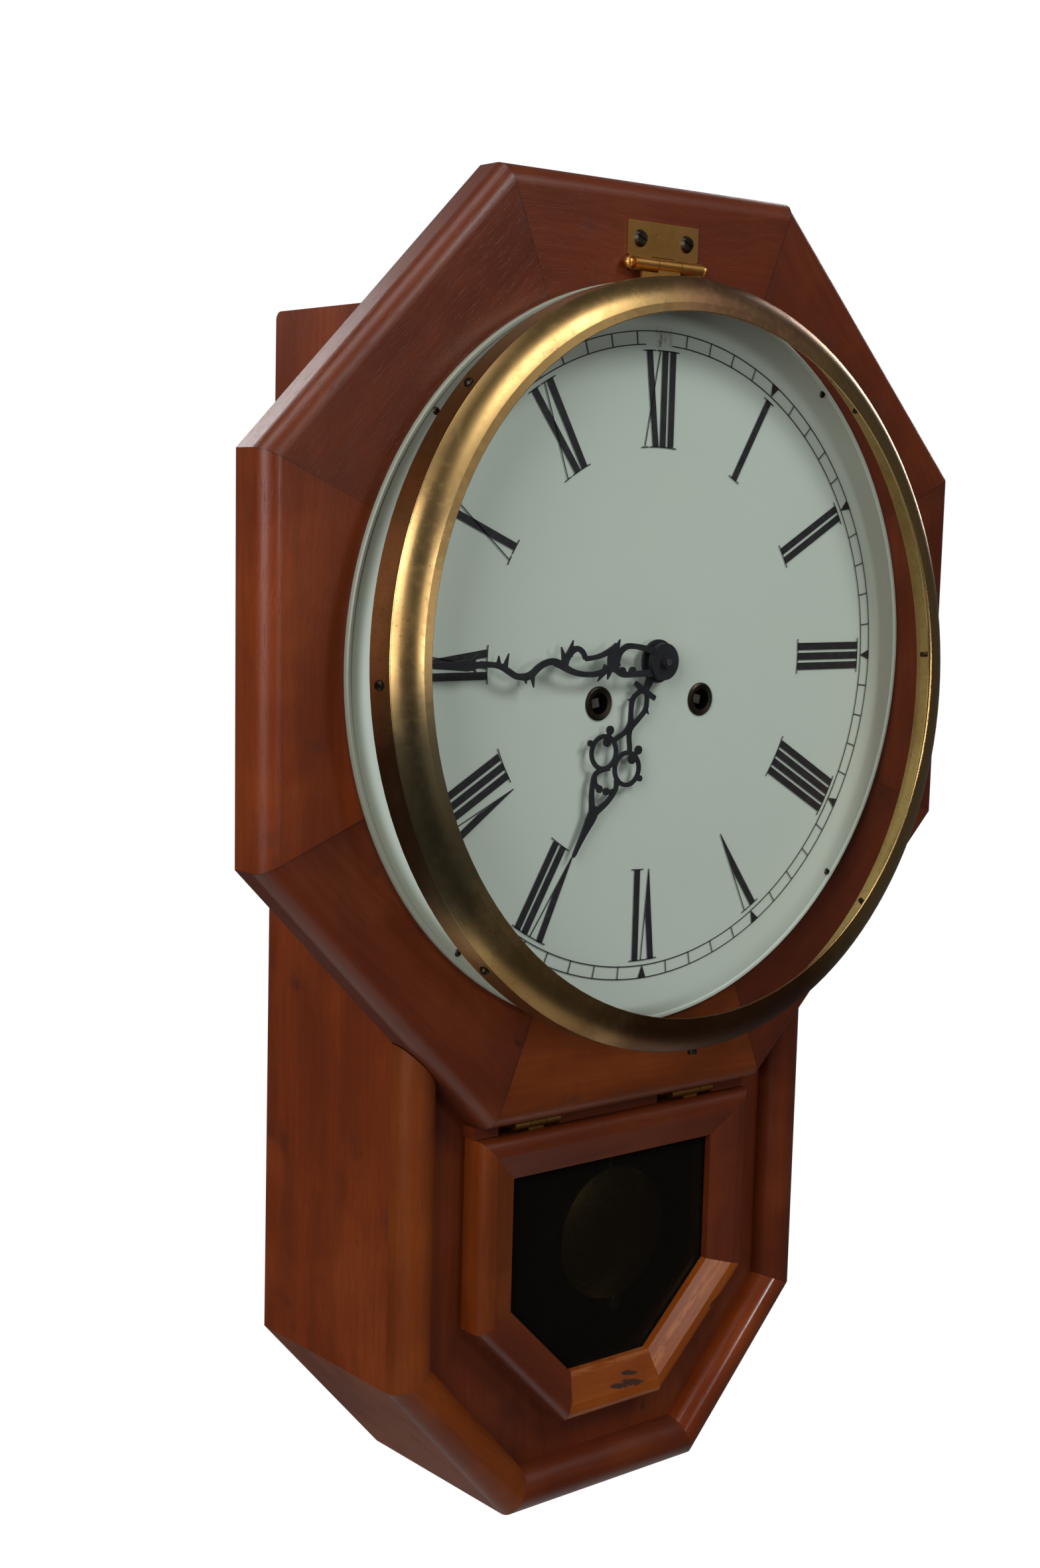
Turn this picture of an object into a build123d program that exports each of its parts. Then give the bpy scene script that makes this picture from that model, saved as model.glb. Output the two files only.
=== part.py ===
from build123d import *
import math
import os

os.makedirs("parts", exist_ok=True)

# All lengths are millimetres. Shapes are built about the dial's centre, with the dial's
# face on y = 0, the viewer on the -Y side and +Z up. They are moved at export so that
# the origin is the middle of the hanging hole.
hang_y = 123.75
hang_z = 172.0

# Case box
case_half = 130.0
case_top_z = 157.5
wall_y = 125.0
front_y = 23.0
board = 13.0
knee_z = -335.0
foot_half = 60.0
foot_z = -413.0
case_corner = 4.0
back_board_y0 = 113.5
back_board_y1 = 122.5

# Octagon head: corners in x and z from the top right, anticlockwise. It was sawn by hand,
# so no two sides are quite alike.
head_points = [
    (87.4, 219.8),
    (-90.9, 218.0),
    (-214.8, 90.3),
    (-213.4, -85.2),
    (-86.5, -215.0),
    (87.5, -215.0),
    (215.0, -87.0),
    (215.3, 92.2),
]
head_width = 101.0
head_y0 = 2.0
head_y1 = 23.0
head_round = 9.0

# Drop-front mouldings and panel
mould_width = 22.0
mould_radius = 11.0
mould_crest_y = 11.0
panel_thick = 8.0
panel_top_z = -196.0

# Door
door_half = 87.0
door_top_z = -221.2
door_knee_z = -314.0
door_foot_half = 31.0
door_foot_z = -370.0
door_open_half = 64.5
door_open_top = -243.0
door_open_knee = -308.0
door_open_foot_half = 25.5
door_open_foot = -347.0
door_y0 = 8.0
door_y1 = 22.7
door_hinge_y = 15.2
door_hinge_z = -218.0
door_hinge_x = 50.5
door_hinge_half = 14.0
door_leaf_y = 14.0

# Dial
dial_radius = 174.0
dial_thick = 0.9
arbor_x = 32.5
arbor_z = -19.2
dial_screw_radius = 169.5
dial_screw_angles = (49.8, 140.0, 228.9, 319.0)

# Bezel, drawn closed and then opened about its top hinge
bezel_open_deg = 3.41
bezel_twist_deg = 1.21
bezel_x = 2.08
bezel_y = -2.06
bezel_z = -3.03
bezel_hinge_y = -1.3
bezel_hinge_z = 181.0
bezel_screw_angles = (1.0, 46.0, 136.0, 181.0, 226.0, 316.0)
bezel_stud_angle = 271.0

# Movement
plate_half = 66.0
plate_bottom = -60.0
plate_top = 62.0
front_plate_y0 = 46.0
front_plate_y1 = 48.0
rear_plate_y0 = 86.0
rear_plate_y1 = 88.0
pillar_points = ((-58.0, -52.0), (58.0, -52.0), (-58.0, 54.0), (58.0, 54.0))
motion_module = 0.8
motion_angle = 30.0
motion_distance = 24.0
pivot_z = 51.0
pendulum_y = 38.0
pendulum_deg = 3.5
bob_z = -293.0
bob_radius = 34.0
gong_z = -150.0
hammer_x = -44.0
hammer_z = -52.0
minute_deg = 270.5
hour_deg = 208.4


def save(name, shape):
    """Move one piece to the hanging-hole frame and write it."""
    export_step(Pos(0, -hang_y, -hang_z) * shape, "parts/" + name + ".step")


def facing(y):
    """Plane across the clock at depth y, with its normal towards the viewer."""
    return Plane(origin=(0, y, 0), x_dir=(1, 0, 0), z_dir=(0, -1, 0))


def slab(points, y0, y1):
    """Outline in x and z, filled from y0 back to y1."""
    face = make_face(Polyline(*points, close=True))
    return extrude(facing(y1) * face, amount=y1 - y0)


def disc(x, z, radius, y0, y1):
    """Round bar along Y."""
    return extrude(facing(y1) * (Pos(x, z) * Circle(radius)), amount=y1 - y0)


def bar_x(y, z, radius, x0, x1):
    """Round bar along X."""
    plane = Plane(origin=(x0, y, z), x_dir=(0, 1, 0), z_dir=(1, 0, 0))
    return extrude(plane * Circle(radius), amount=x1 - x0)


def block(x0, x1, y0, y1, z0, z1):
    """Box between two corners."""
    centre = Pos((x0 + x1) / 2, (y0 + y1) / 2, (z0 + z1) / 2)
    return centre * Box(x1 - x0, y1 - y0, z1 - z0)


def turned(items):
    """Revolve a profile given as (radius, y) points about the dial axis."""
    return revolve(make_face(Polyline(*items, close=True)), Axis.Y, 360)


def outline(items):
    """Closed edge chain. Two entries make a line, three make an arc through the middle."""
    edges = []
    for item in items:
        if len(item) == 2:
            edges.append(Line(*item))
        else:
            edges.append(ThreePointArc(*item))
    return make_face(Wire(edges))


def arc_mid(centre, radius, degrees):
    """Point on a circle, used as the middle of an arc."""
    angle = math.radians(degrees)
    return (centre[0] + radius * math.cos(angle), centre[1] + radius * math.sin(angle))


def rail(corners, items):
    """Moulded rail with mitred ends.

    corners: outer start, outer end, inner end, inner start in x and z.
    items: section edges in (distance inward from the outer edge, y).
    """
    start, end, inner_end, inner_start = corners
    length = math.dist(start, end)
    tx = (end[0] - start[0]) / length
    tz = (end[1] - start[1]) / length
    middle = ((inner_start[0] + inner_end[0]) / 2, (inner_start[1] + inner_end[1]) / 2)
    nx, nz = -tz, tx
    if (middle[0] - start[0]) * nx + (middle[1] - start[1]) * nz < 0:
        nx, nz = tz, -tx
    side = tz * nx - tx * nz
    flipped = [tuple((u, y * side) for u, y in item) for item in items]
    plane = Plane(origin=(start[0] - tx * 40, 0, start[1] - tz * 40), x_dir=(nx, 0, nz), z_dir=(tx, 0, tz))
    body = extrude(plane * outline(flipped), amount=length + 80)
    return body & slab(corners, -60, 160)


def polygon_rails(outer, inner, count):
    """Corner sets of the mitred pieces between two matching outlines."""
    sets = []
    total = len(outer)
    for k in range(count):
        j = (k + 1) % total
        sets.append((outer[k], outer[j], inner[j], inner[k]))
    return sets


def inset(points, distances):
    """Move each edge of a closed outline inward and return the new corners."""
    total = len(points)
    cx = sum(p[0] for p in points) / total
    cz = sum(p[1] for p in points) / total
    lines = []
    for k in range(total):
        a = points[k]
        b = points[(k + 1) % total]
        length = math.dist(a, b)
        nx = -(b[1] - a[1]) / length
        nz = (b[0] - a[0]) / length
        if (cx - a[0]) * nx + (cz - a[1]) * nz < 0:
            nx, nz = -nx, -nz
        lines.append((nx, nz, nx * a[0] + nz * a[1] + distances[k]))
    corners = []
    for k in range(total):
        a1, b1, c1 = lines[k - 1]
        a2, b2, c2 = lines[k]
        det = a1 * b2 - a2 * b1
        corners.append(((c1 * b2 - c2 * b1) / det, (a1 * c2 - a2 * c1) / det))
    return corners


# Case box
case_outline = [
    (-case_half, case_top_z),
    (-case_half, knee_z),
    (-foot_half, foot_z),
    (foot_half, foot_z),
    (case_half, knee_z),
    (case_half, case_top_z),
]
case_inner = inset(case_outline, [board] * 6)
case_sets = polygon_rails(case_outline, case_inner, 6)
case_names = ("case_side_left", "case_panel_left", "case_bottom",
              "case_panel_right", "case_side_right", "case_top")
rounded_back = Plane.YZ * outline([
    ((front_y, -450.0), (wall_y, -450.0)),
    ((wall_y, -450.0), (wall_y, case_top_z - case_corner)),
    ((wall_y, case_top_z - case_corner),
     arc_mid((wall_y - case_corner, case_top_z - case_corner), case_corner, 45),
     (wall_y - case_corner, case_top_z)),
    ((wall_y - case_corner, case_top_z), (front_y, case_top_z)),
    ((front_y, case_top_z), (front_y, -450.0)),
])
rounded_back = extrude(rounded_back, amount=200, both=True)
for case_name, case_set in zip(case_names, case_sets):
    case_board = slab(case_set, front_y, wall_y) & rounded_back
    if case_name == "case_top":
        slot = block(-16.2, 16.2, back_board_y1, wall_y + 1, case_top_z - 20, case_top_z + 1)
        case_board = case_board - slot
    save(case_name, case_board)

back_board = slab(case_inner, back_board_y0, back_board_y1)
screw_holes = [disc(0, 139, 1.6, 116, 126), disc(0, 129, 1.6, 116, 126)]
for hole in screw_holes:
    back_board = back_board - hole
save("back_board", back_board)

hanger_outline = outline([
    ((-15.0, 124.0), (15.0, 124.0)),
    ((15.0, 124.0), (15.0, 171.0)),
    ((15.0, 171.0), (0.0, 186.0), (-15.0, 171.0)),
    ((-15.0, 171.0), (-15.0, 124.0)),
])
hanger_plate = extrude(facing(wall_y) * hanger_outline, amount=2.5)
hanger_plate = hanger_plate - disc(0, hang_z, 4.5, 110, 130)
for hole in screw_holes:
    hanger_plate = hanger_plate - hole
save("hanger_plate", hanger_plate)

# Octagon head
inner_points = inset(head_points, [head_width] * 8)
round_centre = (head_round, head_y0 + head_round)
head_section = [
    ((0, head_y1), (0, head_y0 + head_round)),
    ((0, head_y0 + head_round), arc_mid(round_centre, head_round, 225), (head_round, head_y0)),
    ((head_round, head_y0), (head_width, head_y0)),
    ((head_width, head_y0), (head_width, head_y1)),
    ((head_width, head_y1), (0, head_y1)),
]
head_names = ("head_top", "head_upper_left", "head_left", "head_lower_left",
              "head_bottom", "head_lower_right", "head_right", "head_upper_right")
face_screw_points = []
for screw_angle in dial_screw_angles:
    turn = math.radians(screw_angle)
    face_screw_points.append((dial_screw_radius * math.cos(turn), dial_screw_radius * math.sin(turn)))
hinge_screw_points = [(-14.5, 192.6), (14.5, 192.6)]
for head_name, head_set in zip(head_names, polygon_rails(head_points, inner_points, 8)):
    head_rail = rail(head_set, head_section)
    for px, pz in face_screw_points + hinge_screw_points:
        head_rail = head_rail - disc(px, pz, 1.5, -2, 14)
    save(head_name, head_rail)

# Drop front
mould_inner = inset(case_outline, [mould_width] * 6)
mould_base = mould_crest_y + mould_radius
mould_section = [
    ((0, front_y), (0, mould_base)),
    ((0, mould_base), (mould_radius, mould_crest_y), (2 * mould_radius, mould_base)),
    ((2 * mould_radius, mould_base), (2 * mould_radius, front_y)),
    ((2 * mould_radius, front_y), (0, front_y)),
]
mould_names = ("mould_left", "mould_lower_left", "mould_bottom", "mould_lower_right", "mould_right")
mould_limit_left = 301.2
mould_limit_right = 302.7
side_reach = 400.0
below_head = slab([
    (-side_reach, -mould_limit_left + side_reach),
    (0.0, -mould_limit_left),
    (0.0, -mould_limit_right),
    (side_reach, -mould_limit_right + side_reach),
    (side_reach, -700.0),
    (-side_reach, -700.0),
], -60, 160)
for mould_name, mould_set in zip(mould_names, polygon_rails(case_outline, mould_inner, 5)):
    moulding = rail(mould_set, mould_section) & below_head
    save(mould_name, moulding)

panel_outline = list(case_inner)
panel_points = [(-117.0, panel_top_z)] + panel_outline[1:5] + [(117.0, panel_top_z)]
front_panel = slab(panel_points, front_y, front_y + panel_thick)
window = slab([(-70, -236), (-70, -312), (-29, -353), (29, -353), (70, -312), (70, -236)], 0, 60)
front_panel = front_panel - window
save("front_panel", front_panel)

header_half = 88.0
header_strip = block(-header_half, header_half, door_hinge_y - 1.0, front_y, -220.9, -215.05)
for sign in (-1, 1):
    centre_x = sign * door_hinge_x
    header_strip = header_strip - block(centre_x - 23.5, centre_x + 14.4, 0, 40, -230, -210)
save("header_strip", header_strip)

# Door
door_outer = [
    (-door_half, door_top_z),
    (-door_half, door_knee_z),
    (-door_foot_half, door_foot_z),
    (door_foot_half, door_foot_z),
    (door_half, door_knee_z),
    (door_half, door_top_z),
]
door_inner = [
    (-door_open_half, door_open_top),
    (-door_open_half, door_open_knee),
    (-door_open_foot_half, door_open_foot),
    (door_open_foot_half, door_open_foot),
    (door_open_half, door_open_knee),
    (door_open_half, door_open_top),
]


def door_section(width):
    """Door rail section: rounded outer edge, flat crest, long inner bevel, glass rebate."""
    edge = 5.0
    centre = (edge, door_y0 + edge)
    return [
        ((0, door_y1), (0, door_y0 + edge)),
        ((0, door_y0 + edge), arc_mid(centre, edge, 225), (edge, door_y0)),
        ((edge, door_y0), (edge + 3.5, door_y0)),
        ((edge + 3.5, door_y0), (width, door_y0 + 5.2)),
        ((width, door_y0 + 5.2), (width, door_y0 + 9.0)),
        ((width, door_y0 + 9.0), (width - 4.0, door_y0 + 9.0)),
        ((width - 4.0, door_y0 + 9.0), (width - 4.0, door_y1)),
        ((width - 4.0, door_y1), (0, door_y1)),
    ]


door_names = ("door_rail_left", "door_rail_lower_left", "door_rail_bottom", "door_rail_lower_right",
              "door_rail_right", "door_rail_top")
door_widths = (22.5, 20.4, 23.0, 20.4, 22.5, 21.8)
glass_points = inset(door_inner, [-3.6] * 6)
bead_inner = inset(door_inner, [0.2] * 6)
door_sets = polygon_rails(door_outer, door_inner, 6)
for door_name, door_set, door_width in zip(door_names, door_sets, door_widths):
    door_rail = rail(door_set, door_section(door_width))
    door_rail = door_rail - slab(glass_points, door_y0 + 9.0, 40)
    if door_name == "door_rail_top":
        for sign in (-1, 1):
            middle = sign * door_hinge_x
            left = middle - door_hinge_half
            right = middle + door_hinge_half
            door_rail = door_rail - block(left, right, door_leaf_y, 30, door_top_z - 1.0, door_top_z + 1)
    save(door_name, door_rail)

door_glass = slab(glass_points, door_y0 + 9.0, door_y0 + 11.0)
save("door_glass", door_glass)
door_bead = slab(glass_points, door_y0 + 11.0, door_y1 - 1.2) - slab(bead_inner, 0, 60)
save("door_bead", door_bead)

knuckle = 2.3
pin = 0.9
gap = 0.3
for sign, side_name in ((-1, "left"), (1, "right")):
    middle = sign * door_hinge_x
    third = door_hinge_half / 3
    fixed = block(middle - 14, middle + 14, 22.0, front_y, -220.6, -215.3)
    for a, b in ((-14, -third - gap / 2), (third + gap / 2, 14)):
        fixed = fixed + bar_x(door_hinge_y, door_hinge_z, knuckle, middle + a, middle + b)
        fixed = fixed + block(middle + a, middle + b, door_hinge_y, 22.5, -216.9, -215.7)
    fixed = fixed + bar_x(door_hinge_y, door_hinge_z, pin, middle - 14, middle + 14)
    save("door_hinge_fixed_" + side_name, fixed)
    moving = block(middle - 14, middle + 14, door_leaf_y, door_y1, door_top_z - 1.0, door_top_z)
    tongue_left = middle - third + gap / 2
    tongue_right = middle + third - gap / 2
    moving = moving + bar_x(door_hinge_y, door_hinge_z, knuckle, tongue_left, tongue_right)
    moving = moving + block(tongue_left, tongue_right, 14.6, 15.8, door_top_z - 0.5, door_hinge_z)
    moving = moving - bar_x(door_hinge_y, door_hinge_z, pin + 0.05, middle - 20, middle + 20)
    save("door_hinge_moving_" + side_name, moving)

# Dial
dial_pan = turned([
    (6.0, 0.0), (171.3, 0.0), (172.3, -0.5), (173.4, -0.5), (dial_radius, 0.2), (dial_radius, 2.0),
    (173.2, 2.0), (173.2, dial_thick), (6.0, dial_thick),
])
for sign in (-1, 1):
    dial_pan = dial_pan - disc(sign * arbor_x, arbor_z, 7.0, -5, 5)
for px, pz in face_screw_points:
    dial_pan = dial_pan - disc(px, pz, 1.5, -5, 5)
save("dial_pan", dial_pan)

eyelet = turned([
    (5.0, -0.9), (7.0, -1.3), (7.9, -0.7), (8.0, 0.0),
    (7.0, 0.0), (7.0, 3.0), (5.6, 3.0), (5.2, 0.5),
])
eyelets = Pos(-arbor_x, 0, arbor_z) * eyelet + Pos(arbor_x, 0, arbor_z) * eyelet
save("winding_eyelets", eyelets)


def dome_screw(x, z, head, height, seat_y, shank, depth):
    """Slotted round-head screw along Y with its head towards the viewer."""
    body = disc(x, z, shank, seat_y - 0.2, seat_y + depth)
    cap = extrude(facing(seat_y) * (Pos(x, z) * Circle(head)), amount=height, taper=32)
    slot = Pos(x, seat_y - height, z) * Rot(0, 25, 0) * Box(head * 3, height, 0.5)
    return body + cap - slot


screws = []
for px, pz in face_screw_points:
    screws.append(dome_screw(px, pz, 1.75, 1.0, 0.0, 1.5, 11.0))
for px, pz in hinge_screw_points:
    screws.append(dome_screw(px, pz, 4.0, 1.7, 1.0, 1.5, 12.0))
for pz in (139, 129):
    screws.append(disc(0, pz, 1.6, 117.0, 125.0))
save("case_screws", Compound([solid for screw in screws for solid in screw.solids()]))

# Bezel
bezel_axis = Pos(0, bezel_hinge_y, bezel_hinge_z)
bezel_turn = bezel_axis * Rot(-bezel_open_deg, 0, 0) * Pos(0, -bezel_hinge_y, -bezel_hinge_z)


def opened(shape):
    """Swing a bezel piece from closed to its standing-open place."""
    return bezel_turn * shape


def settled(shape):
    """Put a piece drawn about the ring's own axis where the worn hinge lets the ring sag."""
    twist = Pos(0, bezel_hinge_y, 0) * Rot(0, 0, bezel_twist_deg) * Pos(0, -bezel_hinge_y, 0)
    return twist * Pos(bezel_x, bezel_y, bezel_z) * shape


skirt_foot = 1.5
section = outline([
    ((177.3, -skirt_foot), (176.5, -13.2)),
    ((176.5, -13.2), (176.5, -13.8), (177.0, -14.2)),
    ((177.0, -14.2), (177.5, -14.8), (177.1, -15.6)),
    ((177.1, -15.6), (172.4, -19.6), (165.0, -22.4)),
    ((165.0, -22.4), (161.3, -22.9)),
    ((161.3, -22.9), (160.9, -22.3), (161.4, -21.8)),
    ((161.4, -21.8), (164.9, -21.3)),
    ((164.9, -21.3), (171.8, -18.6), (175.5, -14.6)),
    ((175.5, -14.6), (175.3, -13.2)),
    ((175.3, -13.2), (176.1, -skirt_foot)),
    ((176.1, -skirt_foot), (177.3, -skirt_foot)),
])
bezel_ring = revolve(section, Axis.Y, 360)
bezel_holes = []
for screw_angle in bezel_screw_angles + (bezel_stud_angle,):
    turn = math.radians(screw_angle)
    out_x, out_z = math.cos(turn), math.sin(turn)
    plane = Plane(origin=(160 * out_x, -7.7, 160 * out_z), z_dir=(out_x, 0, out_z))
    bezel_holes.append(extrude(plane * Circle(1.3), amount=30))
for hole in bezel_holes:
    bezel_ring = bezel_ring - hole
save("bezel_ring", opened(settled(bezel_ring)))

bezel_glass = disc(0, 0, 171.0, -17.6, -15.6)
save("bezel_glass", opened(settled(bezel_glass)))

retainer = turned([
    (168.6, -15.5), (173.9, -15.5), (174.9, -13.2), (175.3, -5.4), (174.4, -5.4), (174.1, -12.9),
    (173.2, -14.6), (168.6, -14.6),
])
for hole in bezel_holes:
    retainer = retainer - hole
save("bezel_retainer", opened(settled(retainer)))

bezel_screws = []
for screw_angle in bezel_screw_angles + (bezel_stud_angle,):
    turn = math.radians(screw_angle)
    stud = screw_angle == bezel_stud_angle
    plane = Plane(origin=(172.3 * math.cos(turn), -7.7, 172.3 * math.sin(turn)),
                  x_dir=(0, 1, 0), z_dir=(math.cos(turn), 0, math.sin(turn)))
    shank = extrude(plane * Circle(1.3), amount=5.2)
    head_plane = plane.offset(4.9)
    if stud:
        cap = extrude(head_plane * Circle(2.2), amount=4.2)
        screw = shank + cap
    else:
        cap = extrude(head_plane * Circle(2.3), amount=1.2, taper=30)
        slot = head_plane.offset(1.2) * Box(6, 0.5, 1.0)
        screw = shank + cap - slot
    bezel_screws.append(screw)
screw_solids = [solid for screw in bezel_screws for solid in screw.solids()]
save("bezel_screws", opened(settled(Compound(screw_solids))))

leaf_half = 22.0
barrel = 3.2
bezel_pin = 1.5
hinge_upper = block(-leaf_half, leaf_half, 1.0, 2.0, 185.0, 200.5)
for px, pz in hinge_screw_points:
    hinge_upper = hinge_upper - disc(px, pz, 1.5, -2, 14)
for a, b in ((-21.0, -7.2), (7.2, 21.0)):
    hinge_upper = hinge_upper + bar_x(bezel_hinge_y, bezel_hinge_z, barrel, a, b)
    hinge_upper = hinge_upper + block(a, b, 0.9, 1.9, bezel_hinge_z, 185.2)
hinge_upper = hinge_upper + bar_x(bezel_hinge_y, bezel_hinge_z, bezel_pin, -23.5, 23.5)
for sign in (-1, 1):
    ball = Pos(sign * 23.2, bezel_hinge_y, bezel_hinge_z) * Sphere(2.7)
    hinge_upper = hinge_upper + ball
hinge_upper = hinge_upper & block(-30, 30, -10, 2.0, 170, 210)
save("bezel_hinge_upper", hinge_upper)

leaf_sector = settled(turned([(177.45, -0.4), (178.5, -0.4), (177.9, -10.8), (176.85, -10.8)]))
lower_block = block(-17.0, 17.0, -14, -1.8, 165, 177.4)
hinge_lower = leaf_sector & lower_block
web_round = settled(turned([(150, -30), (177.43, -30), (177.43, 5), (150, 5)]))
web = block(-17.0, 17.0, -3.4, -2.2, 172.4, 177.3) - web_round
hinge_lower = hinge_lower + web
hinge_lower = hinge_lower + bar_x(bezel_hinge_y, bezel_hinge_z, barrel, -6.9, 6.9)
hinge_lower = hinge_lower + block(-6.9, 6.9, -3.4, -2.2, 176.9, 180.0)
hinge_lower = hinge_lower - bar_x(bezel_hinge_y, bezel_hinge_z, bezel_pin + 0.05, -30, 30)
save("bezel_hinge_lower", opened(hinge_lower))


# Gears
def gear_points(teeth, module, addendum, slack, phase_deg):
    """Involute wheel outline with one tooth centred on phase_deg."""
    pressure = math.radians(20)
    pitch = teeth * module / 2
    base = pitch * math.cos(pressure)
    tip = pitch + addendum * module
    root = pitch - 1.15 * module
    half = math.pi / (2 * teeth) - slack / pitch / 2
    inv_pitch = math.tan(pressure) - pressure
    points = []
    radii = [max(base, root), pitch, (pitch + tip) / 2, tip]
    for k in range(teeth):
        centre = math.radians(phase_deg) + 2 * math.pi * k / teeth
        left = []
        for radius in radii:
            roll = math.acos(min(1.0, base / radius))
            spread = half + inv_pitch - (math.tan(roll) - roll)
            left.append((radius, spread))
        if root < base:
            left.insert(0, (root, left[0][1]))
        for radius, spread in left:
            points.append((radius * math.cos(centre - spread), radius * math.sin(centre - spread)))
        for radius, spread in reversed(left):
            points.append((radius * math.cos(centre + spread), radius * math.sin(centre + spread)))
    return points


def gear(x, z, teeth, module, phase_deg, y0, y1, addendum=0.8, slack=0.16):
    """Toothed wheel along Y."""
    outline_points = [(x + a, z + b) for a, b in gear_points(teeth, module, addendum, slack, phase_deg)]
    return slab(outline_points, y0, y1)


def spokes(x, z, inner, outer, count, y0, y1):
    """Openings between the spokes of a wheel."""
    cut = disc(x, z, outer, y0, y1) - disc(x, z, inner, y0, y1)
    for k in range(count):
        arm = Pos(x, (y0 + y1) / 2, z) * Rot(0, 180.0 * k / count + 12, 0) * Box(outer * 2 + 2, y1 - y0, 5.0)
        cut = cut - arm
    return cut


# Movement frame
mx = motion_distance * math.cos(math.radians(motion_angle))
mz = motion_distance * math.sin(math.radians(motion_angle))
plate_points = [
    (-plate_half, plate_bottom),
    (plate_half, plate_bottom),
    (plate_half, plate_top),
    (-plate_half, plate_top),
]


def movement_plate(y0, y1):
    """Movement plate with bores for the turning arbors."""
    plate = slab(plate_points, y0, y1)
    plate = plate - slab([(-22, 22), (22, 22), (22, 44), (-22, 44)], y0 - 1, y1 + 1)
    plate = plate - slab([(-24, -52), (24, -52), (12, -30), (-12, -30)], y0 - 1, y1 + 1)
    for sign in (-1, 1):
        plate = plate - disc(sign * arbor_x, arbor_z, 3.05, y0 - 1, y1 + 1)
    return plate - disc(0, 0, 1.65, y0 - 1, y1 + 1)


plate_front = movement_plate(front_plate_y0, front_plate_y1)
plate_front = plate_front + disc(mx, mz, 1.2, 24.0, front_plate_y0)
plate_front = plate_front + disc(mx, mz, 2.4, 23.2, 24.4)
plate_front = plate_front + disc(0, pivot_z, 1.0, 35.4, front_plate_y0)
plate_front = plate_front + disc(0, pivot_z, 2.4, 34.4, 35.8)
plate_front = plate_front + disc(0, pivot_z, 2.4, 40.2, front_plate_y0)
save("plate_front", plate_front)

plate_back = movement_plate(rear_plate_y0, rear_plate_y1)
for px, pz in pillar_points:
    plate_back = plate_back + disc(px, pz, 3.2, front_plate_y1, rear_plate_y0)
    plate_back = plate_back + disc(px, pz, 4.5, rear_plate_y1, back_board_y0)
plate_back = plate_back + disc(hammer_x, hammer_z, 1.5, rear_plate_y1, 103.0)
plate_back = plate_back + disc(hammer_x, hammer_z, 3.0, 102.0, 103.2)
save("plate_back", plate_back)

# Wheels and arbors
for sign, arbor_name in ((-1, "strike_arbor"), (1, "time_arbor")):
    cx = sign * arbor_x
    arbor = disc(cx, arbor_z, 3.0, 28.0, 90.0)
    square = Pos(cx, 15.5, arbor_z) * Rot(0, 12 * sign, 0) * Box(4.2, 27.0, 4.2)
    arbor = arbor + square
    arbor = arbor + disc(cx, arbor_z, 8.0, 66.0, 84.0)
    save(arbor_name, arbor)

great_module = 2 * math.hypot(arbor_x, arbor_z) / 96
great_angle = math.degrees(math.atan2(arbor_z, arbor_x))
time_wheel = gear(arbor_x, arbor_z, 84, great_module, great_angle + 180 + 180.0 / 84, 52.0, 54.5)
time_wheel = time_wheel - spokes(arbor_x, arbor_z, 9.0, 27.0, 3, 51.0, 56.0)
time_wheel = time_wheel - disc(arbor_x, arbor_z, 3.06, 50, 60)
save("time_great_wheel", time_wheel)

strike_wheel = gear(-arbor_x, arbor_z, 84, great_module, 0.0, 58.6, 61.1)
strike_wheel = strike_wheel - spokes(-arbor_x, arbor_z, 9.0, 27.0, 3, 57.0, 63.0)
strike_wheel = strike_wheel - disc(-arbor_x, arbor_z, 3.06, 55, 65)
save("strike_great_wheel", strike_wheel)

centre_arbor = disc(0, 0, 1.6, -12.6, 90.0)
centre_arbor = centre_arbor + gear(0, 0, 12, great_module, great_angle, 51.4, 55.1)
centre_arbor = centre_arbor + gear(0, 0, 15, motion_module, motion_angle, 31.0, 34.0)
centre_arbor = centre_arbor + disc(0, 0, 3.0, 34.0, 44.0)
save("centre_arbor", centre_arbor)

minute_wheel = gear(mx, mz, 45, motion_module, motion_angle + 180 + 180.0 / 45, 31.4, 33.6)
minute_wheel = minute_wheel - spokes(mx, mz, 7.5, 15.5, 2, 31.0, 34.0)
minute_wheel = minute_wheel + gear(mx, mz, 12, motion_module, motion_angle + 180, 25.4, 31.4)
minute_wheel = minute_wheel + disc(mx, mz, 2.6, 33.6, 45.6)
minute_wheel = minute_wheel - disc(mx, mz, 1.25, 20, 50)
save("minute_wheel", minute_wheel)

hour_wheel = gear(0, 0, 48, motion_module, motion_angle + 180.0 / 48, 26.0, 28.2)
hour_wheel = hour_wheel - spokes(0, 0, 7.0, 16.0, 2, 25.0, 29.0)
hour_wheel = hour_wheel + disc(0, 0, 3.1, -4.9, 30.4)
hour_wheel = hour_wheel - disc(0, 0, 1.68, -10, 40)
save("hour_wheel", hour_wheel)


# Hands
def smooth(points, steps=6):
    """Catmull-Rom curve through (along, across, half width) points."""
    curve = []
    for k in range(len(points) - 1):
        p0 = points[max(k - 1, 0)]
        p1 = points[k]
        p2 = points[k + 1]
        p3 = points[min(k + 2, len(points) - 1)]
        for s in range(steps):
            t = s / steps
            value = []
            for a, b, c, d in zip(p0, p1, p2, p3):
                value.append(0.5 * (2 * b + (c - a) * t + (2 * a - 5 * b + 4 * c - d) * t * t
                                    + (3 * b - a - 3 * c + d) * t ** 3))
            curve.append(value)
    curve.append(list(points[-1]))
    return curve


def filled(points):
    """Face from a closed outline, always wound the same way."""
    area = 0.0
    for k, (a, b) in enumerate(points):
        c, d = points[k - 1]
        area += c * b - a * d
    if area < 0:
        points = points[::-1]
    return make_face(Polyline(*points, close=True))


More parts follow.
